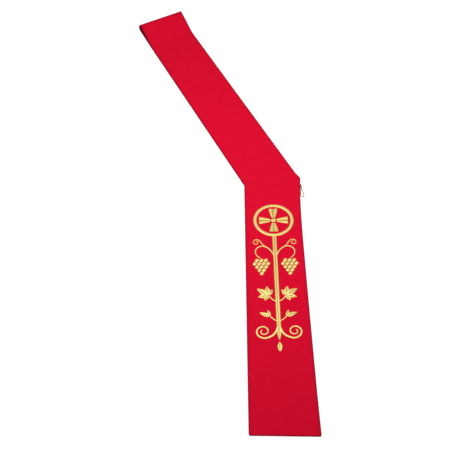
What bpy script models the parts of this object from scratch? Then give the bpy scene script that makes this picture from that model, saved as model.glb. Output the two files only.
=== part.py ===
"""Deacon's clerical stole, folded in half over the shoulder and laid flat.

It lies on its back half, with the soft fold over the shoulder at its +Y end and both hems
at its -Y end. The origin is on the surface it lies on, under the middle of the cloth.
"""

import math
from collections import namedtuple

import bmesh
import bpy
from mathutils import Vector

# Driving dimensions, in metres and degrees
WALL = 0.002                     # face cloth, interlining and lining together
GAP = 0.0003                     # parting between two pieces or two layers that touch
SOFT_EDGE = 0.0006               # rounding along every turned edge
SOFT_EDGE_STEPS = 2
TURNED_ANGLE = 50                # a corner sharper than this is a turned edge

HIP_INNER = Vector((0.0577, 0.0607))    # hip corner inside the turn
HIP_SEAM = 0.1446                # length of the mitred seam across the hip
HIP_SEAM_RISE = 9.7              # the seam climbs to the outer corner

PANEL_DROP_INNER = 0.7279        # hip seam to hem along the inner edge
PANEL_DROP_OUTER = 0.7547        # hip seam to hem along the outer edge
PANEL_LEAN_INNER = 0.35          # the inner edge moves outwards on its way to the hem
HEM_CORNER = 0.005               # rounding of the hem's two corners
HEM_CORNER_STEPS = 3

BAND_COLUMNS = 6
FLAT_ROWS = 4
HIP_EASE = 0.021                 # length over which the band's outer edge runs out to its corner
PANEL_COLUMNS = 6
PANEL_ROWS = 12

CORD_DIAMETER = 0.0019
CORD_SPACING = 0.0040            # distance between points along the cord
CORD_SAMPLES = 40                # places looked at between two points of its route

# The band's two edges. lean: from +Y towards -X. reach: hip seam to the tip of the fold.
# inset: how far the edge runs inside the line that starts at its hip corner.
BandEdge = namedtuple("BandEdge", "lean reach inset")
BAND_INNER = BandEdge(lean=27.2, reach=0.6228, inset=0)
BAND_OUTER = BandEdge(lean=28.2, reach=0.6650, inset=0.0029)

# The soft fold over the shoulder, from the back layer round to the front layer.
# tip: distance back from the tip of the fold. inner, outer: height of the wall's middle
# on the band's inner and outer edges.
FoldRow = namedtuple("FoldRow", "tip inner outer")
FOLD = (
    FoldRow(tip=0.1100, inner=0.0010, outer=0.0010),
    FoldRow(tip=0.0600, inner=0.0016, outer=0.0013),
    FoldRow(tip=0.0300, inner=0.0032, outer=0.0024),
    FoldRow(tip=0.0140, inner=0.0040, outer=0.0034),
    FoldRow(tip=0.0080, inner=0.0043, outer=0.0039),
    FoldRow(tip=0.0040, inner=0.0057, outer=0.0053),
    FoldRow(tip=0.0018, inner=0.0083, outer=0.0079),
    FoldRow(tip=0.0010, inner=0.0115, outer=0.0110),
    FoldRow(tip=0.0014, inner=0.0150, outer=0.0144),
    FoldRow(tip=0.0038, inner=0.0194, outer=0.0183),
    FoldRow(tip=0.0072, inner=0.0244, outer=0.0229),
    FoldRow(tip=0.0104, inner=0.0278, outer=0.0260),
    FoldRow(tip=0.0132, inner=0.0286, outer=0.0268),
    FoldRow(tip=0.0165, inner=0.0278, outer=0.0259),
    FoldRow(tip=0.0225, inner=0.0256, outer=0.0237),
    FoldRow(tip=0.0370, inner=0.0197, outer=0.0183),
    FoldRow(tip=0.0520, inner=0.0137, outer=0.0127),
    FoldRow(tip=0.0660, inner=0.0096, outer=0.0076),
    FoldRow(tip=0.0740, inner=0.0076, outer=0.0050),
    FoldRow(tip=0.0820, inner=0.0060, outer=0.0036),
    FoldRow(tip=0.0890, inner=0.0049, outer=0.0033),
    FoldRow(tip=0.0970, inner=0.0040, outer=0.0033),
    FoldRow(tip=0.1060, inner=0.0035, outer=0.0033),
    FoldRow(tip=0.1150, inner=0.0033, outer=0.0033),
)

# The panel's outer edge, which runs straight at the hip and flares to the hem.
# drop: down from the hip corner. out: away from a line straight down from that corner.
Flare = namedtuple("Flare", "drop out")
OUTER_FLARE = (
    Flare(drop=0.000, out=0.0000),
    Flare(drop=0.070, out=-0.0016),
    Flare(drop=0.150, out=-0.0002),
    Flare(drop=0.250, out=0.0036),
    Flare(drop=0.390, out=0.0094),
    Flare(drop=0.530, out=0.0156),
    Flare(drop=0.660, out=0.0216),
    Flare(drop=PANEL_DROP_OUTER, out=0.0267),
)

# The cord loop, from the front panel's outer edge round to the back panel's.
# out and drop: from the outer hip corner. height: of the cord's centre.
CordPoint = namedtuple("CordPoint", "out drop height")
LOOP_ROUTE = (
    CordPoint(out=0.0008, drop=0.0215, height=0.00335),
    CordPoint(out=0.0013, drop=0.0255, height=0.00335),
    CordPoint(out=0.0020, drop=0.0300, height=0.00300),
    CordPoint(out=0.0030, drop=0.0345, height=0.00230),
    CordPoint(out=0.0041, drop=0.0390, height=0.00155),
    CordPoint(out=0.0053, drop=0.0435, height=0.00115),
    CordPoint(out=0.0065, drop=0.0475, height=0.00105),
    CordPoint(out=0.0075, drop=0.0511, height=0.00105),
    CordPoint(out=0.0078, drop=0.0550, height=0.00105),
    CordPoint(out=0.0066, drop=0.0577, height=0.00105),
    CordPoint(out=0.0039, drop=0.0588, height=0.00105),
    CordPoint(out=0.0012, drop=0.0577, height=0.00105),
    CordPoint(out=0.0000, drop=0.0550, height=0.00105),
    CordPoint(out=-0.0001, drop=0.0511, height=0.00105),
    CordPoint(out=0.0000, drop=0.0470, height=0.00105),
    CordPoint(out=0.0001, drop=0.0420, height=0.00105),
    CordPoint(out=0.0003, drop=0.0360, height=0.00105),
    CordPoint(out=0.0005, drop=0.0300, height=0.00105),
    CordPoint(out=0.0007, drop=0.0240, height=0.00105),
)

BACK_LAYER = WALL / 2                       # heights of the layers' middles
FRONT_LAYER = BACK_LAYER + WALL + GAP
HIP_OUTER = HIP_INNER + HIP_SEAM * Vector((
    math.cos(math.radians(HIP_SEAM_RISE)), math.sin(math.radians(HIP_SEAM_RISE))))


def linear(hex_colour):
    """Turn an sRGB hex colour into linear red, green, blue and alpha."""
    channels = [int(hex_colour[i:i + 2], 16) / 255 for i in (1, 3, 5)]
    return [c / 12.92 if c <= 0.04045 else ((c + 0.055) / 1.055) ** 2.4 for c in channels] + [1]


def material(name, colour, roughness, metallic):
    """Make a material from a hex colour, a roughness and a metallic value."""
    made = bpy.data.materials.new(name)
    made.use_nodes = True
    shader = made.node_tree.nodes["Principled BSDF"]
    shader.inputs["Base Color"].default_value = linear(colour)
    shader.inputs["Roughness"].default_value = roughness
    shader.inputs["Metallic"].default_value = metallic
    made.diffuse_color = linear(colour)
    return made


def smooth_curve(points, position):
    """Read a smooth curve through the points. position counts points, from 0 to the last one."""
    first = min(int(position), len(points) - 2)
    t = position - first
    start = Vector(points[first])
    end = Vector(points[first + 1])
    before = Vector(points[first - 1]) if first > 0 else 2 * start - end
    after = Vector(points[first + 2]) if first + 2 < len(points) else 2 * end - start
    pull_in = (end - before) / 2
    pull_out = (after - start) / 2
    return (start * (2 * t**3 - 3 * t**2 + 1) + end * (3 * t**2 - 2 * t**3)
            + pull_in * (t**3 - 2 * t**2 + t) + pull_out * (t**3 - t**2))


def cloth(name, columns, rows, place, made_of, collection):
    """Make the surface of one cut piece: a grid laid out by place(across, along)."""
    surface = bmesh.new()
    bmesh.ops.create_grid(surface, x_segments=columns, y_segments=rows, size=0.5)
    for vertex in surface.verts:
        vertex.co = place(vertex.co.x + 0.5, vertex.co.y + 0.5)
    mesh = bpy.data.meshes.new(name)
    surface.to_mesh(mesh)
    surface.free()
    mesh.materials.append(made_of)
    mesh.shade_smooth()
    piece = bpy.data.objects.new(name, mesh)
    collection.objects.link(piece)
    return piece


def finish_wall(piece):
    """Thicken a surface to both sides and soften its turned edges."""
    wall = piece.modifiers.new("Wall", "SOLIDIFY")
    wall.thickness = WALL
    wall.offset = 0
    wall.use_even_offset = True
    turned = piece.modifiers.new("Turned edge", "BEVEL")
    turned.width = SOFT_EDGE
    turned.segments = SOFT_EDGE_STEPS
    turned.limit_method = "ANGLE"
    turned.angle_limit = math.radians(TURNED_ANGLE)


def seam_set_back(lean):
    """Length along an edge that clears half the parting at the hip seam."""
    return GAP / 2 / math.cos(math.radians(lean - HIP_SEAM_RISE))


def band_rows(edge, side):
    """List (along, height) of the wall's middle on one edge, from the back hip to the front hip."""
    fold = [(edge.reach - row.tip, getattr(row, side)) for row in FOLD]
    start = seam_set_back(edge.lean)
    flat_end = min(fold[0][0], fold[-1][0])
    flat = [start] + [HIP_EASE + (flat_end - HIP_EASE) * row / FLAT_ROWS for row in range(FLAT_ROWS)]
    back = [(along, BACK_LAYER) for along in flat]
    front = [(along, FRONT_LAYER) for along in reversed(flat)]
    return back + fold + front


def band_edge_point(edge, corner, along, height):
    """Place a point on an edge of the band, at a length along it from its hip corner."""
    lean = math.radians(edge.lean)
    inset = edge.inset * min(1, along / HIP_EASE)
    plan = (corner + along * Vector((-math.sin(lean), math.cos(lean)))
            - inset * Vector((math.cos(lean), math.sin(lean))))
    return Vector((plan.x, plan.y, height))


def build_band(made_of, collection):
    """The shoulder band: one strip from hip to hip, folded over on itself."""
    inner_rows = band_rows(BAND_INNER, "inner")
    outer_rows = band_rows(BAND_OUTER, "outer")
    last = len(inner_rows) - 1

    def place(across, along):
        row = round(along * last)
        inner = band_edge_point(BAND_INNER, HIP_INNER, *inner_rows[row])
        outer = band_edge_point(BAND_OUTER, HIP_OUTER, *outer_rows[row])
        return inner.lerp(outer, across)

    finish_wall(cloth("band", BAND_COLUMNS, last, place, made_of, collection))


def outer_flare(drop):
    """How far the panel's outer edge stands out at a drop below the hip corner."""
    above = [i for i in range(len(OUTER_FLARE) - 1) if OUTER_FLARE[i].drop <= drop][-1]
    span = OUTER_FLARE[above + 1].drop - OUTER_FLARE[above].drop
    return smooth_curve(OUTER_FLARE, above + (drop - OUTER_FLARE[above].drop) / span).y


def build_panel(name, height, made_of, collection):
    """A lower panel, which hangs from the hip seam and flares to its hem."""
    seam_end = seam_set_back(0)

    def place(across, along):
        inner_drop = seam_end + (PANEL_DROP_INNER - seam_end) * along
        outer_drop = seam_end + (PANEL_DROP_OUTER - seam_end) * along
        lean = inner_drop * math.tan(math.radians(PANEL_LEAN_INNER))
        inner = HIP_INNER + Vector((lean, -inner_drop))
        outer = HIP_OUTER + Vector((outer_flare(outer_drop), -outer_drop))
        plan = inner.lerp(outer, across)
        return Vector((plan.x, plan.y, height))

    panel = cloth(name, PANEL_COLUMNS, PANEL_ROWS, place, made_of, collection)
    corners = panel.vertex_groups.new(name="hem corners")
    hem_start = PANEL_ROWS * (PANEL_COLUMNS + 1)
    corners.add([hem_start, hem_start + PANEL_COLUMNS], 1, "REPLACE")
    rounding = panel.modifiers.new("Hem corners", "BEVEL")
    rounding.affect = "VERTICES"
    rounding.limit_method = "VGROUP"
    rounding.vertex_group = "hem corners"
    rounding.width = HEM_CORNER
    rounding.segments = HEM_CORNER_STEPS
    finish_wall(panel)


def build_loop(made_of, collection):
    """The gold cord loop sewn into the outer edges just below the hip."""
    route = [Vector((HIP_OUTER.x + p.out, HIP_OUTER.y - p.drop, p.height)) for p in LOOP_ROUTE]
    points = [route[0]]
    for sample in range(1, CORD_SAMPLES * (len(route) - 1) + 1):
        point = smooth_curve(route, sample / CORD_SAMPLES)
        if (point - points[-1]).length >= CORD_SPACING:
            points.append(point)
    points[-1] = route[-1]

    curve = bpy.data.curves.new("hip_loop", "CURVE")
    curve.dimensions = "3D"
    curve.bevel_depth = CORD_DIAMETER / 2
    curve.bevel_resolution = 2
    curve.use_fill_caps = True
    spline = curve.splines.new("POLY")
    spline.points.add(len(points) - 1)
    for spline_point, point in zip(spline.points, points):
        spline_point.co = (point.x, point.y, point.z, 1)
    curve.materials.append(made_of)
    collection.objects.link(bpy.data.objects.new("hip_loop", curve))


def build():
    """Clear the scene and build the whole stole."""
    for old in list(bpy.data.objects):
        bpy.data.objects.remove(old)
    stole = bpy.data.collections.new("Clerical stole")
    bpy.context.scene.collection.children.link(stole)
    build_band(material("band, red polyester", "#D4193A", 0.80, 0), stole)
    build_panel("back_panel", BACK_LAYER, material("back panel, red polyester", "#D4163A", 0.80, 0), stole)
    build_panel("front_panel", FRONT_LAYER, material("front panel, red polyester", "#D9163A", 0.80, 0), stole)
    build_loop(material("loop, gold cord", "#C9B36A", 0.45, 0.4), stole)


build()
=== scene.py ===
"""Deacon's clerical stole in red cloth, gold embroidered, folded over the shoulder and laid flat.

The file takes the stole piece by piece: the cord loop at the hip, the shoulder band, the two lower
panels, the bar tacks that hold the loop, and the embroidery on the front panel. Sizes are in metres
and angles in degrees.
"""
import math
from collections import namedtuple

import bmesh
import bpy
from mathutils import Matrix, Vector, noise


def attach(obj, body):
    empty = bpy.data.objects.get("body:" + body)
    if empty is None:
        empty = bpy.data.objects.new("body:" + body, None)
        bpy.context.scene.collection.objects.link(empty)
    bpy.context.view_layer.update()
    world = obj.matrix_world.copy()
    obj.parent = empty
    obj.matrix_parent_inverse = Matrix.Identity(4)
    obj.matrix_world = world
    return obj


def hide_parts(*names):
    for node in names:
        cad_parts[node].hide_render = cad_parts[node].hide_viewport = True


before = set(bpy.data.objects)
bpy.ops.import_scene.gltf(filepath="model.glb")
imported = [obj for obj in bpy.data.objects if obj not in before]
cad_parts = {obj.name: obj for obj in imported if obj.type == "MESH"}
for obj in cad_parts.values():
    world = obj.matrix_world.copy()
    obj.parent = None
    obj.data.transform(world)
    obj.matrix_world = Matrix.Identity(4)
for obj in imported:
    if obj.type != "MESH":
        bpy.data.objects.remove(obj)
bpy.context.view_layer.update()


# ------------------------ camera
# It looks down on the stole from beyond its hems, with a long lens, so that the far shoulder fold
# is hardly smaller than the near hem.
VIEW_TILT = 38                  # from straight down
VIEW_DISTANCE = 3.9731
VIEW_TARGET = Vector((0.0091, -0.0639, 0))
LENS = 128                      # in millimetres, as the sensor is
SENSOR_WIDTH = 36


def add_object(name, data):
    """Put an object into the scene."""
    made = bpy.data.objects.new(name, data)
    bpy.context.scene.collection.objects.link(made)
    return made


camera_lens = bpy.data.cameras.new("camera")
camera_lens.lens = LENS
camera_lens.sensor_width = SENSOR_WIDTH
camera = add_object("camera", camera_lens)
tilt = math.radians(VIEW_TILT)
camera.location = VIEW_TARGET + VIEW_DISTANCE * Vector((0, -math.sin(tilt), math.cos(tilt)))
camera.rotation_euler = (tilt, 0, 0)
bpy.context.scene.camera = camera
bpy.context.scene.view_settings.view_transform = "Standard"


# ------------------------ hip loop
# A loop of thin gold cord holds the front and back halves together at the hip. Three strands of
# metallised thread are twisted into the cord, and its ends are sewn to the panels' outer edges.
HIP_INNER = Vector((0.0577, 0.0607))  # hip corner inside the turn
HIP_SEAM = 0.1446               # length of the mitred seam across the hip
HIP_SEAM_RISE = 9.7             # the seam climbs to the outer corner

CORD_TWIST = 0.0042             # length of one full turn of the strands
STRANDS = 3
STRAND_DIAMETER = 0.00125       # the strands press into one another
CROWN_DIAMETER = 0.0020         # over the crowns of the strands, which stand a little proud
STRAND_STEP = 0.0003            # distance between points along a strand
THREAD_SIDES = 2                # curve resolution that gives a thread eight sides
SMOOTH_SAMPLES = 24             # steps of a smooth line from one given point to the next

# out and drop: from the outer hip corner. height: of the cord's centre.
CordPoint = namedtuple("CordPoint", "out drop height")
LOOP_ROUTE = (
    CordPoint(out=0.0008, drop=0.0215, height=0.00335),
    CordPoint(out=0.0013, drop=0.0255, height=0.00335),
    CordPoint(out=0.0020, drop=0.0300, height=0.00300),
    CordPoint(out=0.0030, drop=0.0345, height=0.00230),
    CordPoint(out=0.0041, drop=0.0390, height=0.00155),
    CordPoint(out=0.0053, drop=0.0435, height=0.00115),
    CordPoint(out=0.0065, drop=0.0475, height=0.00105),
    CordPoint(out=0.0075, drop=0.0511, height=0.00105),
    CordPoint(out=0.0078, drop=0.0550, height=0.00105),
    CordPoint(out=0.0066, drop=0.0577, height=0.00105),
    CordPoint(out=0.0039, drop=0.0588, height=0.00105),
    CordPoint(out=0.0012, drop=0.0577, height=0.00105),
    CordPoint(out=0.0000, drop=0.0550, height=0.00105),
    CordPoint(out=-0.0001, drop=0.0511, height=0.00105),
    CordPoint(out=0.0000, drop=0.0470, height=0.00105),
    CordPoint(out=0.0001, drop=0.0420, height=0.00105),
    CordPoint(out=0.0003, drop=0.0360, height=0.00105),
    CordPoint(out=0.0005, drop=0.0300, height=0.00105),
    CordPoint(out=0.0007, drop=0.0240, height=0.00105),
)

# painted shade and painted glint: the cord's colour goes from shade to gold with its relief
CORD_SHADE = "#664E0C"
CORD_GOLD = "#C4931A"
CORD_FOIL = 0.0004              # size of one glint on the foil
CORD_RELIEF = 0.0001
CORD_ROUGHNESS = (0.62, 0.44)   # between the glints, and on them
CORD_METALLIC = 0.1             # little of what shows is bare foil
CORD_SPECULAR = 0.1
FIBRE_BUMP = 0.6                # how strongly a thread's relief breaks up the light
NOISE_DETAIL = 2.0              # layers of finer grain in a noise
COLOUR_A = 6                    # a Mix node's colour sockets, by number
COLOUR_B = 7
COLOUR_RESULT = 2


def heading(degrees):
    """A step of one metre in plan, in a direction that turns from +X towards +Y."""
    return Vector((math.cos(math.radians(degrees)), math.sin(math.radians(degrees))))


def smooth_line(points):
    """Read one smooth curve through the points, as many points close together."""
    before = [2 * points[0] - points[1]] + points[:-2]
    after = points[2:] + [2 * points[-1] - points[-2]]
    line = [points[0]]
    for previous, start, end, following in zip(before, points, points[1:], after):
        pull_in = (end - previous) / 2
        pull_out = (following - start) / 2
        for sample in range(1, SMOOTH_SAMPLES + 1):
            t = sample / SMOOTH_SAMPLES
            line.append(start * (2 * t**3 - 3 * t**2 + 1) + end * (3 * t**2 - 2 * t**3)
                        + pull_in * (t**3 - 2 * t**2 + t) + pull_out * (t**3 - t**2))
    return line


def spaced_along(line, step):
    """Points about a step apart along a line, from its first point to its last."""
    lengths = [0]
    for start, end in zip(line, line[1:]):
        lengths.append(lengths[-1] + (end - start).length)
    count = max(2, round(lengths[-1] / step))
    spaced = []
    at = 0
    for number in range(count + 1):
        wanted = lengths[-1] * number / count
        while at < len(line) - 2 and lengths[at + 1] < wanted:
            at += 1
        share = (wanted - lengths[at]) / (lengths[at + 1] - lengths[at])
        spaced.append(line[at].lerp(line[at + 1], share))
    return spaced


def linear(hex_colour):
    """Turn an sRGB hex colour into linear red, green, blue and alpha."""
    channels = [int(hex_colour[i:i + 2], 16) / 255 for i in (1, 3, 5)]
    return [c / 12.92 if c <= 0.04045 else ((c + 0.055) / 1.055) ** 2.4 for c in channels] + [1]


def new_material(name):
    """Start a material: return it with its shader."""
    made = bpy.data.materials.new(name)
    made.use_nodes = True
    return made, made.node_tree.nodes["Principled BSDF"]


def set_inputs(node, inputs):
    """Give a node's inputs, by name or number, each a value or the output that feeds it."""
    for socket, value in inputs.items():
        if isinstance(value, bpy.types.NodeSocket):
            node.id_data.links.new(value, node.inputs[socket])
        else:
            node.inputs[socket].default_value = value


def add_node(made, kind, inputs, **settings):
    """Add a node to a material, with its settings and inputs."""
    node = made.node_tree.nodes.new(kind)
    for setting, value in settings.items():
        setattr(node, setting, value)
    set_inputs(node, inputs)
    return node


def finish_surface(made, shader, colour, pattern, roughness, height, bump, relief, spread=(0, 1)):
    """Give a shader its colour, a gloss that follows a pattern, and the relief of a height.

    roughness: at the two ends of the pattern's spread. relief: from the lowest point to the highest.
    """
    gloss = add_node(made, "ShaderNodeMapRange", {
        "Value": pattern, "From Min": spread[0], "From Max": spread[1],
        "To Min": roughness[0], "To Max": roughness[1]})
    raised = add_node(made, "ShaderNodeBump", {"Height": height, "Strength": bump, "Distance": relief})
    set_inputs(shader, {
        "Base Color": colour, "Roughness": gloss.outputs["Result"], "Normal": raised.outputs["Normal"]})


def twisted_fibres(made, shader, size, colours, roughness, relief):
    """Break up a thread's colour, gloss and surface as its fibres do. size: of one fleck of light.
    Its colour follows the relief: painted shade in the low places, a painted glint on the high ones.
    """
    place = add_node(made, "ShaderNodeTexCoord", {}).outputs["Object"]
    fleck = add_node(made, "ShaderNodeTexNoise", {
        "Vector": place, "Scale": 1 / size, "Detail": NOISE_DETAIL}).outputs["Fac"]
    colour = add_node(made, "ShaderNodeMix", {
        "Factor": fleck, COLOUR_A: linear(colours[0]), COLOUR_B: linear(colours[1])}, data_type="RGBA")
    finish_surface(made, shader, colour.outputs[COLOUR_RESULT], fleck, roughness,
                   height=fleck, bump=FIBRE_BUMP, relief=relief)


def metallised_cord():
    """Metallised gold cord, twisted: old gold, with a foil glint that breaks up along each thread.
    The glint lies in the gloss and also as a painted glint in the colour, with painted shade between.
    """
    made, shader = new_material("metallised gold cord, twisted")
    twisted_fibres(made, shader, CORD_FOIL, (CORD_SHADE, CORD_GOLD), CORD_ROUGHNESS, CORD_RELIEF)
    set_inputs(shader, {"Metallic": CORD_METALLIC, "Specular IOR Level": CORD_SPECULAR})
    return made


def add_piece(name, mesh, *materials):
    """Put a piece of the stole into the scene. It has no joints, so every piece rides on one body."""
    for material in materials:
        mesh.materials.append(material)
    piece = add_object(name, mesh)
    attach(piece, "root")
    return piece


def round_threads(name, lines, diameter, material):
    """Make one piece of round threads, one along each line of points."""
    curve = bpy.data.curves.new(name, "CURVE")
    curve.dimensions = "3D"
    curve.bevel_depth = diameter / 2
    curve.bevel_resolution = THREAD_SIDES
    curve.use_fill_caps = True
    for line in lines:
        spline = curve.splines.new("POLY")
        spline.points.add(len(line) - 1)
        for spline_point, point in zip(spline.points, line):
            spline_point.co = (*point, 1)
    drawn = add_object("drawn threads", curve)
    mesh = bpy.data.meshes.new_from_object(drawn.evaluated_get(bpy.context.evaluated_depsgraph_get()))
    bpy.data.objects.remove(drawn)
    mesh.materials.clear()
    mesh.shade_smooth()
    return add_piece(name, mesh, material)


HIP_OUTER = HIP_INNER + HIP_SEAM * heading(HIP_SEAM_RISE)
route = [Vector((HIP_OUTER.x + p.out, HIP_OUTER.y - p.drop, p.height)) for p in LOOP_ROUTE]
cord_line = spaced_along(smooth_line(route), STRAND_STEP)
strand_lines = []
for strand in range(STRANDS):
    strand_lines.append([])
    for number, centre in enumerate(cord_line):
        ahead = cord_line[min(number + 1, len(cord_line) - 1)] - cord_line[max(number - 1, 0)]
        sideways = ahead.cross(Vector((0, 0, 1))).normalized()
        upwards = sideways.cross(ahead).normalized()
        turn = 2 * math.pi * (strand / STRANDS + number * STRAND_STEP / CORD_TWIST)
        twist = math.cos(turn) * sideways + math.sin(turn) * upwards
        strand_lines[-1].append(centre + (CROWN_DIAMETER - STRAND_DIAMETER) / 2 * twist)

hip_loop_cord = round_threads("hip_loop_cord", strand_lines, STRAND_DIAMETER, metallised_cord())
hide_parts("hip_loop")


# ------------------------ shoulder band
# One straight strip of red cloth, interlined and lined, runs from the back hip over the shoulder to
# the front hip. Its long edges are turned in, and it lies folded double in a soft open fold.
WALL = 0.002                    # face cloth, interlining and lining together
GAP = 0.0003                    # parting between two layers that touch
SEAM_GAP = 0.0001               # parting between the two sides of the hip seam
BACK_LAYER = WALL / 2           # heights of the layers' middles
FRONT_LAYER = BACK_LAYER + WALL + GAP
HIP_EASE = 0.021                # length over which the outer edge runs out to its corner
FLAT_ROWS = 130
FOLD_STEP = 3                   # points of the fold's smooth line from one row to the next
BAND_COLUMNS = 30

# lean: from +Y towards -X. reach: hip seam to the tip of the fold.
# inset: how far the edge runs inside the line that starts at its hip corner.
BandEdge = namedtuple("BandEdge", "lean reach inset")
BAND_INNER = BandEdge(lean=27.2, reach=0.6228, inset=0)
BAND_OUTER = BandEdge(lean=28.2, reach=0.6650, inset=0.0029)
BAND_GRAIN = 27.7               # the weave runs along the middle of the band

# The fold, from the back layer round to the front layer. tip: distance back from the tip of the
# fold. inner, outer: height of the wall's middle on the band's two edges. roll: painted shade
# over the crease, where the cloth turns away from the light, as at a turned edge.
FoldRow = namedtuple("FoldRow", "tip inner outer roll", defaults=(0,))
FOLD = (
    FoldRow(tip=0.1100, inner=0.0010, outer=0.0010),
    FoldRow(tip=0.0600, inner=0.0016, outer=0.0013),
    FoldRow(tip=0.0300, inner=0.0032, outer=0.0024),
    FoldRow(tip=0.0140, inner=0.0040, outer=0.0034),
    FoldRow(tip=0.0080, inner=0.0043, outer=0.0039),
    FoldRow(tip=0.0040, inner=0.0057, outer=0.0053),
    FoldRow(tip=0.0018, inner=0.0083, outer=0.0079),
    FoldRow(tip=0.0010, inner=0.0115, outer=0.0110, roll=0.25),
    FoldRow(tip=0.0014, inner=0.0150, outer=0.0144, roll=0.40),
    FoldRow(tip=0.0038, inner=0.0194, outer=0.0183, roll=0.58),
    FoldRow(tip=0.0072, inner=0.0244, outer=0.0229, roll=0.70),
    FoldRow(tip=0.0104, inner=0.0278, outer=0.0260, roll=0.70),
    FoldRow(tip=0.0132, inner=0.0286, outer=0.0268, roll=0.58),
    FoldRow(tip=0.0165, inner=0.0278, outer=0.0259, roll=0.40),
    FoldRow(tip=0.0225, inner=0.0256, outer=0.0237, roll=0.25),
    FoldRow(tip=0.0370, inner=0.0197, outer=0.0183),
    FoldRow(tip=0.0520, inner=0.0137, outer=0.0127),
    FoldRow(tip=0.0660, inner=0.0096, outer=0.0076),
    FoldRow(tip=0.0740, inner=0.0076, outer=0.0050),
    FoldRow(tip=0.0820, inner=0.0060, outer=0.0036),
    FoldRow(tip=0.0890, inner=0.0049, outer=0.0033),
    FoldRow(tip=0.0970, inner=0.0040, outer=0.0033),
    FoldRow(tip=0.1060, inner=0.0035, outer=0.0033),
    FoldRow(tip=0.1150, inner=0.0033, outer=0.0033),
)

# How a piece thins to its edge. inset: in from the edge. face, lining: distance of each side from
# the wall's middle. The turned-in allowance lies under the face for the first 11 mm.
EdgeRow = namedtuple("EdgeRow", "inset face lining")
TURNED_EDGE = (
    EdgeRow(inset=0.00000, face=0.00000, lining=0.00000),
    EdgeRow(inset=0.00008, face=0.00038, lining=0.00038),
    EdgeRow(inset=0.00028, face=0.00067, lining=0.00067),
    EdgeRow(inset=0.00060, face=0.00088, lining=0.00088),
    EdgeRow(inset=0.00110, face=0.00098, lining=0.00098),
    EdgeRow(inset=0.00250, face=0.00100, lining=0.00100),
    EdgeRow(inset=0.00340, face=0.00100, lining=0.00088),
    EdgeRow(inset=0.00950, face=0.00099, lining=0.00088),
    EdgeRow(inset=0.01100, face=0.00093, lining=0.00088),
    EdgeRow(inset=0.01300, face=0.00088, lining=0.00088),
)
HIP_SEAM_EDGE = (
    EdgeRow(inset=0.00000, face=0.00066, lining=0.00060),
    EdgeRow(inset=0.00020, face=0.00078, lining=0.00078),
    EdgeRow(inset=0.00060, face=0.00089, lining=0.00090),
    EdgeRow(inset=0.00120, face=0.00095, lining=0.00094),
    EdgeRow(inset=0.00220, face=0.00099, lining=0.00094),
    EdgeRow(inset=0.01000, face=0.00098, lining=0.00090),
    EdgeRow(inset=0.01300, face=0.00088, lining=0.00088),
)
LINING_INSET = 0.0034           # the lining is felled down this far in from the edge
SIDE_SHADE_WIDTH = 0.0115              # painted shade on the rolled cloth within this distance of a long edge
HEM_SHADE_WIDTH = 0.0065               # and within this distance of a hem
LIE_HEIGHT = 0.0004             # the slow waves in which cloth lies on a table
LIE_LENGTH = 0.085
LIE_SLICE = 0.5                 # where the waves are read from the noise
WELD = 1e-6                     # points closer than this are one

CLOTH_RED = "#E20D31"
# painted shade between the weave's threads, and where a sewing thread's plies meet
CLOTH_SHADE = "#CC0B2A"
# painted shade of the rolled edges, the hem and the fold's crease, where cloth turns from the light
CLOTH_EDGE_SHADE = "#9C092C"
CLOTH_SHINE = "#FF2040"         # what dyed polyester gives back
CLOTH_BLOOM = "#FF3048"         # of the loose fibres on its face
THREAD_SPACING = 0.0012         # the real threads lie 0.4 mm apart, too fine to show
THREAD_RELIEF = 0.00015
SLUB_WIDTH = 0.0016             # the real thick places are 0.8 mm wide, too fine to show
SLUB_LENGTH = 0.012
SLUB_DETAIL = 3.0
SLUB_GRAIN = 0.6                # how strong the finer parts of its noise are
SLUB_RELIEF = 0.6               # of a slub, as a share of the weave's own
SLUB_TONE = 0.05                # paler or deeper by this share
MOTTLE = 0.02                   # uneven take-up of the dye
MOTTLE_TONE = 0.03
NOISE_LOW = 0.3                 # nearly all of a noise lies between these
NOISE_HIGH = 0.7
EDGE_UNEVENNESS = 0.5                 # how unevenly the painted edge shade lies, after the slubs
CLOTH_ROUGHNESS = (0.92, 0.74)  # between slubs, and on them
CLOTH_BUMP = 0.7
CLOTH_SPECULAR = 0.3
BLOOM = 0.05
BLOOM_ROUGHNESS = 0.5

# The lining's red is drawn deeper than the face's: painted shade in the fold's open mouth.
LINING_SHADED_RED = "#A00A26"
# painted shade between the lining's threads
LINING_SHADE = "#84061C"
TAFFETA_SPACING = 0.0008        # the real threads lie 0.2 mm apart, too fine to show
TAFFETA_DETAIL = 4.0
TAFFETA_ROUGHNESS = (0.45, 0.65)  # where it was pressed, and where it has creased
TAFFETA_BUMP = 0.5
TAFFETA_SPECULAR = 0.35


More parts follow.
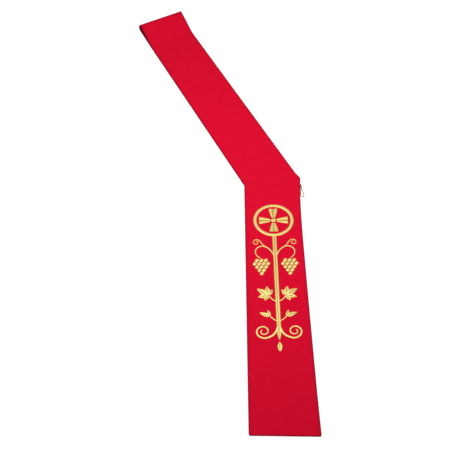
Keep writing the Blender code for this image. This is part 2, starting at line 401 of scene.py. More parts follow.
def plain_weave(made, spacing, deep, bright):
    """Weave threads that cross over and under each other in turn.

    Returns the place in the flat cloth, the height, 0 to 1, and the colour, with a painted
    highlight on the crowns and painted shade between them.
    """
    flat = add_node(made, "ShaderNodeUVMap", {}, uv_map="weave").outputs["UV"]
    parts = add_node(made, "ShaderNodeSeparateXYZ", {"Vector": flat})
    waves = []
    for thread in ("X", "Y"):
        turn = add_node(made, "ShaderNodeMath", {
            0: parts.outputs[thread], 1: math.pi / spacing}, operation="MULTIPLY").outputs[0]
        waves.append(add_node(made, "ShaderNodeMath", {0: turn}, operation="SINE").outputs[0])
    crowns = []
    for own, crossing, half in ((waves[0], waves[1], 0.5), (waves[1], waves[0], -0.5)):
        round_top = add_node(made, "ShaderNodeMath", {0: own}, operation="ABSOLUTE").outputs[0]
        sign = add_node(made, "ShaderNodeMath", {0: own}, operation="SIGN").outputs[0]
        dip = add_node(made, "ShaderNodeMath", {0: sign, 1: crossing}, operation="MULTIPLY")
        level = add_node(made, "ShaderNodeMath", {
            0: dip.outputs[0], 1: half, 2: abs(half)}, operation="MULTIPLY_ADD")
        crowns.append(add_node(made, "ShaderNodeMath", {
            0: round_top, 1: level.outputs[0]}, operation="MULTIPLY").outputs[0])
    height = add_node(made, "ShaderNodeMath", dict(enumerate(crowns)), operation="MAXIMUM").outputs[0]
    colour = add_node(made, "ShaderNodeMix", {
        "Factor": height, COLOUR_A: linear(deep), COLOUR_B: linear(bright)}, data_type="RGBA")
    return flat, height, colour.outputs[COLOUR_RESULT]


def polyester_plain_weave():
    """Polyester plain weave, dyed red: matte, with small slubs and a faint soft bloom off the fibres."""
    made, shader = new_material("polyester plain weave, red")
    flat, threads, woven_shading = plain_weave(made, THREAD_SPACING, CLOTH_SHADE, CLOTH_RED)
    slub_place = add_node(made, "ShaderNodeMapping", {
        "Vector": flat, "Scale": (1 / SLUB_WIDTH, 1 / SLUB_LENGTH, 1)}).outputs["Vector"]
    slub = add_node(made, "ShaderNodeTexNoise", {
        "Vector": slub_place, "Scale": 1, "Detail": SLUB_DETAIL, "Roughness": SLUB_GRAIN}).outputs["Fac"]
    mottle = add_node(made, "ShaderNodeTexNoise", {
        "Vector": flat, "Scale": 1 / MOTTLE, "Detail": NOISE_DETAIL}).outputs["Fac"]
    tones = []
    for pattern, depth in ((slub, SLUB_TONE), (mottle, MOTTLE_TONE)):
        tones.append(add_node(made, "ShaderNodeMapRange", {
            "Value": pattern, "From Min": NOISE_LOW, "From Max": NOISE_HIGH,
            "To Min": 1 - depth, "To Max": 1 + depth}).outputs["Result"])
    tone = add_node(made, "ShaderNodeMath", dict(enumerate(tones)), operation="MULTIPLY")
    # the dyed red, with the weave's painted shade and highlight
    dyed = add_node(made, "ShaderNodeVectorMath", {
        0: woven_shading, "Scale": tone.outputs[0]}, operation="SCALE")
    # Painted shade: the colour goes towards a darker red at the rolled edges, the hem and the crease.
    painted_shade = add_node(made, "ShaderNodeAttribute", {}, attribute_name="rolled edge").outputs["Fac"]
    uneven_shade = add_node(made, "ShaderNodeMath", {
        0: slub, 1: EDGE_UNEVENNESS, 2: painted_shade}, operation="MULTIPLY_ADD")
    edge_shade = add_node(made, "ShaderNodeMapRange", {
        "Value": uneven_shade.outputs[0], "From Min": EDGE_UNEVENNESS, "From Max": 1 + EDGE_UNEVENNESS / 2})
    colour = add_node(made, "ShaderNodeMix", {
        "Factor": edge_shade.outputs["Result"], COLOUR_A: dyed.outputs["Vector"],
        COLOUR_B: linear(CLOTH_EDGE_SHADE)}, data_type="RGBA")
    height = add_node(made, "ShaderNodeMath", {
        0: slub, 1: SLUB_RELIEF, 2: threads}, operation="MULTIPLY_ADD")
    finish_surface(made, shader, colour.outputs[COLOUR_RESULT], slub, CLOTH_ROUGHNESS,
                   height=height.outputs[0], bump=CLOTH_BUMP, relief=THREAD_RELIEF)
    set_inputs(shader, {
        "Specular IOR Level": CLOTH_SPECULAR, "Specular Tint": linear(CLOTH_SHINE),
        "Sheen Weight": BLOOM, "Sheen Roughness": BLOOM_ROUGHNESS, "Sheen Tint": linear(CLOTH_BLOOM)})
    return made


def polyester_taffeta_lining():
    """Polyester taffeta lining, finer and smoother than the face, with a dull shine. Its red is
    drawn deeper than the face's, as painted shade inside the fold.
    """
    made, shader = new_material("polyester taffeta lining, deep red")
    flat, threads, colour = plain_weave(made, TAFFETA_SPACING, LINING_SHADE, LINING_SHADED_RED)
    crease = add_node(made, "ShaderNodeTexNoise", {
        "Vector": flat, "Scale": 1 / MOTTLE, "Detail": TAFFETA_DETAIL}).outputs["Fac"]
    finish_surface(made, shader, colour, crease, TAFFETA_ROUGHNESS,
                   height=threads, bump=TAFFETA_BUMP, relief=THREAD_RELIEF)
    set_inputs(shader, {
        "Specular IOR Level": TAFFETA_SPECULAR, "Specular Tint": linear(CLOTH_SHINE)})
    return made


face_cloth = polyester_plain_weave()
lining_cloth = polyester_taffeta_lining()


def lie_of_cloth(x, y):
    """Height of the slow waves at a place. Both layers lie in the same ones."""
    return LIE_HEIGHT * (0.5 + 0.5 * noise.noise(Vector((x / LIE_LENGTH, y / LIE_LENGTH, LIE_SLICE))))


def read_row(rows, at):
    """Read a table at a value of its first column, evenly between the two rows around it."""
    for before, after in zip(rows, rows[1:]):
        if at <= after[0]:
            share = (at - before[0]) / (after[0] - before[0])
            return [start + share * (end - start) for start, end in zip(before, after)]
    return rows[-1]


def insets_across(width, near_edge, far_edge, count):
    """Distances across a width: close together at its two edges, and even between them."""
    near = [row.inset for row in near_edge]
    far = [width - row.inset for row in reversed(far_edge)]
    inside = far[0] - near[-1]
    return near + [near[-1] + inside * place / count for place in range(1, count)] + far


def round_corner(points, row_insets, hem_insets, radius):
    """Round the hem's two corners: move the wall's points in there from a square onto a disc."""
    for row, hem_inset in enumerate(hem_insets):
        width = row_insets[row][-1]
        for column, inset in enumerate(row_insets[row]):
            x = 1 - min(inset, width - inset) / radius
            y = 1 - hem_inset / radius
            if x > 0 and y > 0:
                inwards = radius if inset < width / 2 else -radius
                points[row][column] += Vector((inwards * (x - x * math.sqrt(1 - y * y / 2)),
                                               radius * (y - y * math.sqrt(1 - x * x / 2)), 0))


def closed_mesh(name, shell):
    """Weld a shell's points that meet, turn its faces outwards and make it a mesh."""
    bmesh.ops.remove_doubles(shell, verts=shell.verts, dist=WELD)
    bmesh.ops.recalc_face_normals(shell, faces=shell.faces)
    mesh = bpy.data.meshes.new(name)
    shell.to_mesh(mesh)
    shell.free()
    return mesh


def cloth_shell(name, rows, columns, last_edge, grain, face_side, corner_radius=0, painted_crease_shade=None):
    """Make up one cut piece as a closed shell of face, lining and turned edges.

    rows: (inner point, outer point) of the wall's middle, from the piece's hip seam to its last
    edge. grain: from +Y towards -X, the way the weave runs. face_side: 1 where the face is up as
    the rows run down the page, -1 where the piece lies face down. painted_crease_shade: how much
    painted shade lies over a crease, for each row.
    """
    along = heading(grain + 90).to_3d()
    across = Vector((along.y, -along.x, 0))
    from_seam = [0]
    for (inner, outer), (next_inner, next_outer) in zip(rows, rows[1:]):
        from_seam.append(from_seam[-1] + ((next_inner + next_outer) - (inner + outer)).length / 2)
    from_last = [from_seam[-1] - distance for distance in from_seam]
    insets = [insets_across((outer - inner).length, TURNED_EDGE, TURNED_EDGE, columns)
              for inner, outer in rows]
    middle = [[inner.lerp(outer, inset / row_insets[-1]) for inset in row_insets]
              for (inner, outer), row_insets in zip(rows, insets)]
    if corner_radius:
        round_corner(middle, insets, from_last, corner_radius)

    shell = bmesh.new()
    weave = shell.loops.layers.uv.new("weave")
    painted_shade = shell.verts.layers.float.new("rolled edge")
    sides = ([], [])
    flat = {}
    depth = {}
    last = len(rows) - 1
    run = [(point - middle[0][0]).dot(along) for point in middle[0]]
    for row, row_insets in enumerate(insets):
        for side in sides:
            side.append([])
        for column, inset in enumerate(row_insets):
            point = middle[row][column]
            over = middle[row][min(column + 1, len(row_insets) - 1)] - middle[row][max(column - 1, 0)]
            onwards = middle[min(row + 1, last)][column] - middle[max(row - 1, 0)][column]
            outwards = face_side * onwards.cross(over).normalized()
            if row:
                run[column] += (point - middle[row - 1][column]).length
            to_edge = min(inset, row_insets[-1] - inset)
            face, lining = [min(three) for three in zip(
                read_row(TURNED_EDGE, to_edge),
                read_row(HIP_SEAM_EDGE, from_seam[row]),
                read_row(last_edge, from_last[row]))][1:]
            lift = Vector((0, 0, lie_of_cloth(point.x, point.y)))
            # painted shade along the rolled long edges, the hem and the fold's crease
            painted_shade_share = max(0, 1 - to_edge / SIDE_SHADE_WIDTH) ** 2
            if last_edge is TURNED_EDGE:
                painted_shade_share = max(painted_shade_share, max(0, 1 - from_last[row] / HEM_SHADE_WIDTH) ** 2)
                to_edge = min(to_edge, from_last[row])
            if painted_crease_shade:
                painted_shade_share = max(painted_shade_share, painted_crease_shade[row])
            for side, height in zip(sides, (face, -lining)):
                vertex = shell.verts.new(point + lift + height * outwards)
                vertex[painted_shade] = painted_shade_share
                flat[vertex] = ((point - middle[0][0]).dot(across), run[column])
                depth[vertex] = to_edge
                side[row].append(vertex)

    def close(corners, lined=False):
        made = shell.faces.new(corners)
        made.smooth = True
        made.material_index = int(lined and min(depth[corner] for corner in corners) >= LINING_INSET)
        for loop in made.loops:
            loop[weave].uv = flat[loop.vert]

    end = len(insets[0]) - 1
    for row in range(last):
        for column in range(end):
            for side in sides:
                close((side[row][column], side[row][column + 1],
                       side[row + 1][column + 1], side[row + 1][column]), side is sides[1])
        for column in (0, end):
            close((sides[0][row][column], sides[0][row + 1][column],
                   sides[1][row + 1][column], sides[1][row][column]))
    for row in (0, last):
        for column in range(end):
            close((sides[0][row][column], sides[0][row][column + 1],
                   sides[1][row][column + 1], sides[1][row][column]))
    piece = add_piece(name, closed_mesh(name, shell), face_cloth, lining_cloth)
    return piece


def band_edge(edge, corner, side):
    """Points of the wall's middle along one edge, from hip to hip, and the painted crease shade at each.
    """
    set_back = SEAM_GAP / 2 / math.cos(math.radians(edge.lean - HIP_SEAM_RISE))
    flat_end = edge.reach - max(FOLD[0].tip, FOLD[-1].tip)
    flat = [set_back + row.inset for row in HIP_SEAM_EDGE]
    flat += [HIP_EASE + (flat_end - HIP_EASE) * row / FLAT_ROWS for row in range(FLAT_ROWS)]
    fold = smooth_line([Vector((edge.reach - row.tip, getattr(row, side), row.roll)) for row in FOLD])
    stops = ([Vector((at, BACK_LAYER, 0)) for at in flat] + fold[::FOLD_STEP]
             + [Vector((at, FRONT_LAYER, 0)) for at in reversed(flat)])
    points = []
    for at, height, roll in stops:
        inset = edge.inset * min(1, at / HIP_EASE)
        plan = corner + at * heading(edge.lean + 90) - inset * heading(edge.lean)
        points.append(Vector((*plan, height)))
    return points, [roll for at, height, roll in stops]


inner_edge, painted_crease_shade = band_edge(BAND_INNER, HIP_INNER, "inner")
outer_edge, painted_crease_shade = band_edge(BAND_OUTER, HIP_OUTER, "outer")
band_cloth = cloth_shell("band_cloth", list(zip(inner_edge, outer_edge)), BAND_COLUMNS, HIP_SEAM_EDGE,
                         BAND_GRAIN, face_side=1, painted_crease_shade=painted_crease_shade)
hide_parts("band")


# ------------------------ lower panels
# Two flared panels of the same lined cloth hang from the mitred hip seams, one on each end of the
# band. The back one lies face down, and the front one on top of it, face up.
PANEL_DROP_INNER = 0.7279       # hip seam to hem along the inner edge
PANEL_DROP_OUTER = 0.7547       # hip seam to hem along the outer edge
PANEL_LEAN_INNER = 0.35         # the inner edge moves outwards on its way to the hem
HEM_CORNER = 0.005
PANEL_GRAIN = 180               # the weave runs straight down to the hem
PANEL_ROWS = 200
PANEL_COLUMNS = 34

# drop: down from the hip corner. out: away from a line straight down from that corner.
Flare = namedtuple("Flare", "drop out")
OUTER_FLARE = (
    Flare(drop=0.000, out=0.0000),
    Flare(drop=0.070, out=-0.0016),
    Flare(drop=0.150, out=-0.0002),
    Flare(drop=0.250, out=0.0036),
    Flare(drop=0.390, out=0.0094),
    Flare(drop=0.530, out=0.0156),
    Flare(drop=0.660, out=0.0216),
    Flare(drop=PANEL_DROP_OUTER, out=0.0267),
)
flare_line = smooth_line([Vector(row) for row in OUTER_FLARE])


def outer_flare(drop):
    """How far the panel's outer edge stands out at a drop below the hip corner."""
    return read_row(flare_line, drop)[1]


def panel_cloth(name, height, face_side):
    """Make up one panel, from the hip seam to the hem, with its wall's middle at a height."""
    length = (PANEL_DROP_INNER + PANEL_DROP_OUTER) / 2
    rows = []
    for inset in insets_across(length, HIP_SEAM_EDGE, TURNED_EDGE, PANEL_ROWS):
        inner_drop, outer_drop = (SEAM_GAP / 2 + (drop - SEAM_GAP / 2) * inset / length
                                  for drop in (PANEL_DROP_INNER, PANEL_DROP_OUTER))
        inner = HIP_INNER + Vector((inner_drop * math.tan(math.radians(PANEL_LEAN_INNER)), -inner_drop))
        outer = HIP_OUTER + Vector((outer_flare(outer_drop), -outer_drop))
        rows.append((Vector((*inner, height)), Vector((*outer, height))))
    return cloth_shell(name, rows, PANEL_COLUMNS, TURNED_EDGE, PANEL_GRAIN, face_side, HEM_CORNER)


back_panel_cloth = panel_cloth("back_panel_cloth", BACK_LAYER, face_side=-1)
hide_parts("back_panel")

front_panel_cloth = panel_cloth("front_panel_cloth", FRONT_LAYER, face_side=1)
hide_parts("front_panel")


# ------------------------ bar tacks
# A bar tack binds each end of the cord to its panel's edge: turns of red sewing thread, side by
# side, that go round the cord and through the cloth.
TACK_THREAD = 0.0003
TACK_PITCH = 0.00032            # the turns lie against one another
TACK_LENGTH = 0.0026
TACK_START = 0.0003             # from the cord's end
TACK_BITE = 0.0013              # how far in from the edge the needle goes
TACK_PLACES = 18                # points in one turn
TACK_RELIEF = TACK_THREAD / 5
TACK_ROUGHNESS = (0.75, 0.5)    # where plies meet, and on their crowns
TACK_SPECULAR = 0.3


def sewing_thread():
    """Spun polyester sewing thread, red: a soft hairy shine, with painted shade where plies meet."""
    made, shader = new_material("spun polyester sewing thread, red")
    twisted_fibres(made, shader, TACK_THREAD, (CLOTH_SHADE, CLOTH_RED), TACK_ROUGHNESS, TACK_RELIEF)
    set_inputs(shader, {"Specular IOR Level": TACK_SPECULAR})
    return made


tack_lines = []
for end, onwards in ((route[0], route[1]), (route[-1], route[-2])):
    along = (onwards - end).normalized()
    clear = (CROWN_DIAMETER + TACK_THREAD) / 2
    tack_lines.append([])
    for number in range(round(TACK_LENGTH / TACK_PITCH) * TACK_PLACES + 1):
        centre = end + (TACK_START + TACK_PITCH * number / TACK_PLACES) * along
        inside = HIP_OUTER.x + outer_flare(HIP_OUTER.y - centre.y) - TACK_BITE
        half = (centre.x + clear - inside) / 2
        off_middle = (centre.x - inside - half) / half
        rise = clear / math.sqrt(1 - off_middle ** 2)
        turn = 2 * math.pi * number / TACK_PLACES
        height = max(TACK_THREAD / 2, centre.z + rise * math.sin(turn))
        tack_lines[-1].append(Vector((inside + half - half * math.cos(turn), centre.y, height)))
round_threads("bar_tacks", tack_lines, TACK_THREAD, sewing_thread())


# ------------------------ embroidery: ring and cross
# Gold machine embroidery runs down the middle of the front panel, from a cross in a ring under the
# hip. It is satin stitch, threads laid side by side from edge to edge over a padding of plain
# stitches, so that a line swells where it is wide.
EMBROIDERY_TOP = Vector((0.1271, HIP_INNER.y))
EMBROIDERY_LEAN = 1.26          # the middle of the flared panel leans outwards to the hem
THREAD_PITCH = 0.0008           # the real threads lie 0.4 mm apart, too fine to show
THREAD_RISE = 0.00009           # of a thread's crown over the middle of its slope
THREAD_TONE = 0.25              # how much a crown is painted lighter, and a slope painted in shade
STITCH_LIFT = 0.00045           # the thinnest line stands this far proud
PADDING = 0.085                 # further height, for each metre of a stitch's length
STITCH_DIP = 0.00025            # a stitch's two ends go into the cloth
STITCH_SLANT = 0.35             # how far a thread leans along the line it crosses
TIP_WIDTH = 0.0009

# Half the form of a line, from its edge to its middle. across: share of the half width. rise: share
# of the line's height.
StitchPoint = namedtuple("StitchPoint", "across rise")
PLAIN_SATIN = (
    StitchPoint(across=-1.00, rise=0.00),
    StitchPoint(across=-0.93, rise=0.50),
    StitchPoint(across=-0.72, rise=0.84),
    StitchPoint(across=-0.38, rise=0.98),
    StitchPoint(across=0.00, rise=1.00),
)
SPLIT_SATIN = (
    StitchPoint(across=-1.00, rise=0.00),
    StitchPoint(across=-0.93, rise=0.55),
    StitchPoint(across=-0.74, rise=0.92),
    StitchPoint(across=-0.46, rise=1.00),
    StitchPoint(across=-0.22, rise=0.66),
    StitchPoint(across=0.00, rise=0.36),
)

# painted shade where the threads dive into the cloth, painted highlight on their crowns
THREAD_GOLD = "#FAE08C"
THREAD_SHADE = "#A08824"
FOIL_LENGTH = 0.004             # one glint along a thread
FOIL_GLINT_TONE = (0.86, 1.08)        # colour scale between the glints and on them: a painted glint
FOIL_ROUGHNESS = (0.52, 0.38)
FOIL_RELIEF = 0.0001
FOIL_BUMP = 0.5
FOIL_METALLIC = 0.35

# places: what it runs through, each (across, drop) from the top of the panel's middle line.
# width: a function that gives its width at a share of the way along. split: the threads run from
# both edges into a groove along the middle. closed: its last place is its first.
SatinLine = namedtuple("SatinLine", "places width split closed", defaults=(False, False))

RING_CENTRE = Vector((0, 0.113))
RING_RADIUS = 0.046
RING_WIDTH = 0.0087
RING_PLACES = 96
CROSS_ARMS = (0, 90, 180, 270)
CROSS_NEAR = 0.0078             # an arm's two ends, from the middle of the ring
CROSS_FAR = 0.0355
CROSS_NARROW = 0.0085
CROSS_WIDE = 0.0240
BOSS = 0.0125


def metallised_thread():
    """Gold metallised polyester thread, satin stitched: painted highlight on the foil crowns, painted
    olive shade where threads dive in.
    """
    made, shader = new_material("metallised polyester thread, gold")
    place = add_node(made, "ShaderNodeUVMap", {}, uv_map="thread").outputs["UV"]
    along_threads = add_node(made, "ShaderNodeMapping", {
        "Vector": place, "Scale": (1 / FOIL_LENGTH, 1 / THREAD_PITCH, 1)})
    foil = add_node(made, "ShaderNodeTexNoise", {
        "Vector": along_threads.outputs["Vector"], "Scale": 1, "Detail": NOISE_DETAIL}).outputs["Fac"]
    # rise: painted shade where a thread dives in, painted highlight on its crown
    rise = add_node(made, "ShaderNodeAttribute", {}, attribute_name="rise")
    gold = add_node(made, "ShaderNodeMix", {
        "Factor": rise.outputs["Fac"], COLOUR_A: linear(THREAD_SHADE), COLOUR_B: linear(THREAD_GOLD)},
        data_type="RGBA")
    # painted glint: the colour is lighter where the foil's noise is high
    tone = add_node(made, "ShaderNodeMapRange", {
        "Value": foil, "From Min": NOISE_LOW, "From Max": NOISE_HIGH,
        "To Min": FOIL_GLINT_TONE[0], "To Max": FOIL_GLINT_TONE[1]})
    colour = add_node(made, "ShaderNodeVectorMath", {
        0: gold.outputs[COLOUR_RESULT], "Scale": tone.outputs["Result"]}, operation="SCALE")
    finish_surface(made, shader, colour.outputs["Vector"], foil, FOIL_ROUGHNESS, height=foil,
                   bump=FOIL_BUMP, relief=FOIL_RELIEF, spread=(NOISE_LOW, NOISE_HIGH))
    set_inputs(shader, {"Metallic": FOIL_METALLIC})
    return made


gold_thread = metallised_thread()
panel_across = heading(EMBROIDERY_LEAN)


def on_front_panel(place, height):
    """A point over the front panel, from its (across, drop) place."""
    x = EMBROIDERY_TOP.x + place.x * panel_across.x + place.y * panel_across.y
    y = EMBROIDERY_TOP.y + place.x * panel_across.y - place.y * panel_across.x
    return Vector((x, y, FRONT_LAYER + TURNED_EDGE[-1].face + lie_of_cloth(x, y) + height))


def satin(stitches, line):
    """Lay satin stitch along a satin line: a ridge for each thread, and closed below."""
    middle = spaced_along(line.places, THREAD_PITCH / 2)
    last = len(middle) - 1
    profile = list(SPLIT_SATIN if line.split else PLAIN_SATIN)
    profile += [StitchPoint(-stitch.across, stitch.rise) for stitch in reversed(profile[:-1])]
    threads = stitches.loops.layers.uv.verify()
    painted_thread_light = stitches.verts.layers.float["rise"]
    rows = []
    for number, centre in enumerate(middle):
        before = middle[last - 1] if line.closed and number == 0 else middle[max(number - 1, 0)]
        after = middle[1] if line.closed and number == last else middle[min(number + 1, last)]
        ahead = (after - before).normalized()
        sideways = Vector((-ahead.y, ahead.x))
        half = max(line.width(number / last), TIP_WIDTH) / 2
        crown = STITCH_LIFT + PADDING * half * (1 if line.split else 2)
        from_end = min(number, last - number) * THREAD_PITCH / 2
        slant = STITCH_SLANT * (1 if line.closed else min(1, from_end / half))
        ridge = 1 if number % 2 else -1
        rows.append([])
        for stitch in profile:
            lean = abs(stitch.across) if line.split else stitch.across
            plan = centre + half * (stitch.across * sideways - slant * lean * ahead)
            height = stitch.rise * (crown + ridge * THREAD_RISE) - STITCH_DIP
            vertex = stitches.verts.new(on_front_panel(plan, height))
            # painted shade at the threads' feet and on their slopes, painted highlight on their crowns
            vertex[painted_thread_light] = stitch.rise * (1 + THREAD_TONE * ridge) - THREAD_TONE
            rows[-1].append((vertex, (half * stitch.across, number * THREAD_PITCH / 2)))

    def close(corners):
        made = stitches.faces.new([vertex for vertex, place in corners])
        made.smooth = True
        for loop, (vertex, place) in zip(made.loops, corners):
            loop[threads].uv = place

    for row, following in zip(rows, rows[1:]):
        for (start, end), (next_start, next_end) in zip(zip(row, row[1:]), zip(following, following[1:])):
            close((start, end, next_end, next_start))
        close((row[-1], row[0], following[0], following[-1]))
    if not line.closed:
        close(rows[0])
        close(rows[-1])


def sew(name, satin_lines):
    """Make one piece of embroidery from its satin lines."""
    stitches = bmesh.new()
    stitches.loops.layers.uv.new("thread")
    stitches.verts.layers.float.new("rise")
    for line in satin_lines:
        satin(stitches, line)
    return add_piece(name, closed_mesh(name, stitches), gold_thread)


def even(size):
    """The same width all the way along a line."""
    return lambda share: size


def tapering(start, end):
    """A width that goes evenly from one size to another."""
    return lambda share: start + (end - start) * share


def spoke(centre, direction, near, far):
    """A straight line out from a centre. direction: up from straight across."""
    return [centre + reach * heading(-direction) for reach in (near, far)]


def disc(centre, size, direction):
    """A round shape, as a satin line straight across it."""
    return SatinLine(spoke(centre, direction, -size / 2, size / 2),
                     lambda share: size * math.sqrt(max(0, 1 - (2 * share - 1) ** 2)))


ring_line = [RING_CENTRE + RING_RADIUS * heading(360 * number / RING_PLACES - 90)
             for number in range(RING_PLACES + 1)]
ring_embroidery = sew("ring_embroidery", [SatinLine(ring_line, even(RING_WIDTH), closed=True)])

cross_lines = [SatinLine(spoke(RING_CENTRE, direction, CROSS_NEAR, CROSS_FAR),
                         tapering(CROSS_NARROW, CROSS_WIDE), split=True) for direction in CROSS_ARMS]
cross_lines.append(disc(RING_CENTRE, BOSS, CROSS_ARMS[0]))
cross_embroidery = sew("cross_embroidery", cross_lines)


# ------------------------ embroidery: stem and leaves
# The vine's stem hangs from the ring, in satin stitch split down its middle. Under the grapes a
# lobed leaf stands on a short stalk at each side of it, and under that a pair of small ones.
STEM_TOP = 0.1615
STEM_FOOT = 0.470
STEM_WIDTH = 0.0106
STEM_TAPER = 0.06               # the stem narrows over this share of its length
STEM_POINT = 0.2                # to this share of its width
STALK_WIDTH = 0.0030
LEAF_FULLEST = 0.45             # a lobe is widest at this share of its length
LEAF_FULLNESS = 0.8             # below 1, a leaf's sides swell more than a sine curve

# across, drop: from the top of the panel's middle line, on its outer side.
Place = namedtuple("Place", "across drop")
LEAF_STALK = (
    Place(across=0.0040, drop=0.3590),
    Place(across=0.0130, drop=0.3530),
    Place(across=0.0220, drop=0.3400),
)
BUD_STALK = (
    Place(across=0.0040, drop=0.4160),
    Place(across=0.0130, drop=0.4100),
    Place(across=0.0200, drop=0.4020),
)

# direction: up from straight across. length, width: of one lobe of the leaf.
Lobe = namedtuple("Lobe", "direction length width")
VINE_LEAF = (
    Lobe(direction=128, length=0.0190, width=0.0125),
    Lobe(direction=-62, length=0.0190, width=0.0125),
    Lobe(direction=84, length=0.0255, width=0.0150),
    Lobe(direction=-16, length=0.0255, width=0.0150),
    Lobe(direction=34, length=0.0320, width=0.0165),
)
BUD_LEAF = (
    Lobe(direction=74, length=0.0180, width=0.0085),
    Lobe(direction=22, length=0.0270, width=0.0125),
)


def leaf(size, fullest):
    """A leaf's width: a point at both ends, and its full size at a share of the way along."""
    power = math.log(0.5) / math.log(fullest)
    return lambda share: size * math.sin(math.pi * share ** power) ** LEAF_FULLNESS


def pointed(size):
    """The stem's width: even, and narrowing to a point at its foot."""
    return lambda share: size * min(1, STEM_POINT + (1 - share) / STEM_TAPER)


def curved(places, side):
    """A smooth line through places, on the outer side of the middle line, or with side -1 mirrored."""
    return smooth_line([Vector((side * across, drop)) for across, drop in places])


stem_embroidery = sew("stem_embroidery", [
    SatinLine([Vector((0, STEM_TOP)), Vector((0, STEM_FOOT))], pointed(STEM_WIDTH), split=True)])

leaf_lines = []
for side in (-1, 1):
    for stalk, lobes in ((LEAF_STALK, VINE_LEAF), (BUD_STALK, BUD_LEAF)):
        line = curved(stalk, side)
        leaf_lines.append(SatinLine(line, even(STALK_WIDTH)))
        for lobe in lobes:
            direction = lobe.direction if side > 0 else 180 - lobe.direction
            leaf_lines.append(SatinLine(spoke(line[-1], direction, 0, lobe.length),
                                        leaf(lobe.width, LEAF_FULLEST), split=True))
leaves_embroidery = sew("leaves_embroidery", leaf_lines)


# ------------------------ embroidery: tendrils and grapes
# Under the ring a tendril arches out of the stem on each side, with a curl on its back, and holds a
# bunch of grapes. Each grape is a round of satin stitch, laid aslant.
CURL_STEPS = 12                 # places in one full turn
CURL_TIGHTENS = 0.8             # below 1, a curl winds in fastest at its start
BUNCH_ACROSS = 0.0345
BUNCH_TOP = 0.2370
GRAPE = 0.0108
GRAPE_SLANT = 35
GRAPE_ROWS = (3, 4, 3, 2, 1)
GRAPE_DROP = 0.0098             # from one row to the next

TENDRIL = (
    Place(across=0.0030, drop=0.2220),
    Place(across=0.0120, drop=0.2050),
    Place(across=0.0260, drop=0.1940),
    Place(across=0.0400, drop=0.1960),
    Place(across=0.0480, drop=0.2070),
    Place(across=0.0460, drop=0.2200),
    Place(across=0.0375, drop=0.2300),
)
TENDRIL_WIDTHS = (0.0042, 0.0028)  # at its two ends
TENDRIL_CURL_WIDTHS = (0.0032, 0.0020)

# lead_in: the places before the spiral. begins: clockwise from straight up, seen from its centre.
# wide, narrow: distance from its centre at its two ends. turns: clockwise where positive.
Curl = namedtuple("Curl", "lead_in centre begins wide narrow turns")
TENDRIL_CURL = Curl(
    lead_in=(Place(across=0.0210, drop=0.1970), Place(across=0.0290, drop=0.1890)),
    centre=Place(across=0.0455, drop=0.1815), begins=-62, wide=0.0098, narrow=0.0030, turns=1.2)


def curled(curl, side):
    """A smooth line that leads into a spiral and winds in round its centre."""
    places = list(curl.lead_in)
    steps = round(abs(curl.turns) * CURL_STEPS)
    for step in range(steps + 1):
        share = step / steps
        turn = math.radians(curl.begins + 360 * curl.turns * share)
        reach = curl.wide + (curl.narrow - curl.wide) * share ** CURL_TIGHTENS
        places.append(Place(across=curl.centre.across + reach * math.sin(turn),
                            drop=curl.centre.drop - reach * math.cos(turn)))
    return curved(places, side)


tendril_lines = []
grape_lines = []
for side in (-1, 1):
    tendril_lines.append(SatinLine(curved(TENDRIL, side), tapering(*TENDRIL_WIDTHS)))
    tendril_lines.append(SatinLine(curled(TENDRIL_CURL, side), tapering(*TENDRIL_CURL_WIDTHS)))
    for row, grapes in enumerate(GRAPE_ROWS):
        for number in range(grapes):
            across = side * BUNCH_ACROSS + (number - (grapes - 1) / 2) * GRAPE
            centre = Vector((across, BUNCH_TOP + row * GRAPE_DROP))
            grape_lines.append(disc(centre, GRAPE, GRAPE_SLANT))
tendrils_embroidery = sew("tendrils_embroidery", tendril_lines)
grapes_embroidery = sew("grapes_embroidery", grape_lines)


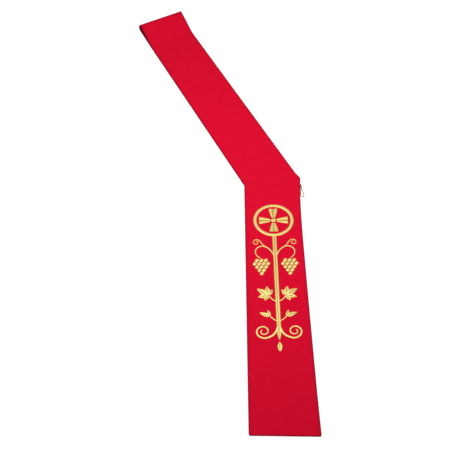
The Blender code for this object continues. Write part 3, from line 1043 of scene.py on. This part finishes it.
# ------------------------ embroidery: feet
# The stem ends between two curled feet, each one line of satin stitch that thins as it winds in. A
# drop in split satin stitch hangs under its point.
FOOT_CURL = Curl(
    lead_in=(Place(across=0.0025, drop=0.4340), Place(across=0.0075, drop=0.4470),
             Place(across=0.0165, drop=0.4580)),
    centre=Place(across=0.0370, drop=0.4455), begins=195, wide=0.0200, narrow=0.0050, turns=-1.45)
FOOT_WIDTHS = (0.0062, 0.0028)  # at its two ends
DROP_TOP = 0.474
DROP_FOOT = 0.503
DROP_WIDTH = 0.0125
DROP_FULLEST = 0.6              # a drop is widest at this share of its length

foot_lines = [SatinLine([Vector((0, DROP_TOP)), Vector((0, DROP_FOOT))],
                        leaf(DROP_WIDTH, DROP_FULLEST), split=True)]
for side in (-1, 1):
    foot_lines.append(SatinLine(curled(FOOT_CURL, side), tapering(*FOOT_WIDTHS)))
feet_embroidery = sew("feet_embroidery", foot_lines)


# ------------------------ floor and light
# The stole lies on a light table of opal acrylic, which glows evenly and takes no shadow. A big
# softbox hangs over its middle, and the white room fills the rest, so that the cloth is lit evenly
# and falls off a little towards both ends.
TABLE_HALF = 20
WHITE = "#FFFFFF"
OPAL_WHITE = "#5A5A5A"          # what the table reflects, under its own light
OPAL_ROUGHNESS = 0.9
TABLE_GLOW = 1.0
LAMP_SIZE = 0.7
LAMP_POWER = 12.0
LAMP_PLACE = (-0.03, 0.06, 1.20)
ROOM_LIGHT = 0.345

opal, opal_shader = new_material("opal acrylic, lit from below")
set_inputs(opal_shader, {
    "Base Color": linear(OPAL_WHITE), "Roughness": OPAL_ROUGHNESS,
    "Emission Color": linear(WHITE), "Emission Strength": TABLE_GLOW})
floor_mesh = bpy.data.meshes.new("floor")
corners = [TABLE_HALF * Vector((x, y, 0)) for x, y in ((-1, -1), (1, -1), (1, 1), (-1, 1))]
floor_mesh.from_pydata(corners, [], [range(len(corners))])
floor_mesh.materials.append(opal)
floor = add_object("floor", floor_mesh)

softbox_light = bpy.data.lights.new("softbox", "AREA")
softbox_light.shape = "SQUARE"
softbox_light.size = LAMP_SIZE
softbox_light.energy = LAMP_POWER
softbox = add_object("softbox", softbox_light)
softbox.location = LAMP_PLACE
softbox.visible_camera = False

room = bpy.data.worlds.new("white room")
room.use_nodes = True
set_inputs(room.node_tree.nodes["Background"], {"Color": linear(WHITE), "Strength": ROOM_LIGHT})
bpy.context.scene.world = room
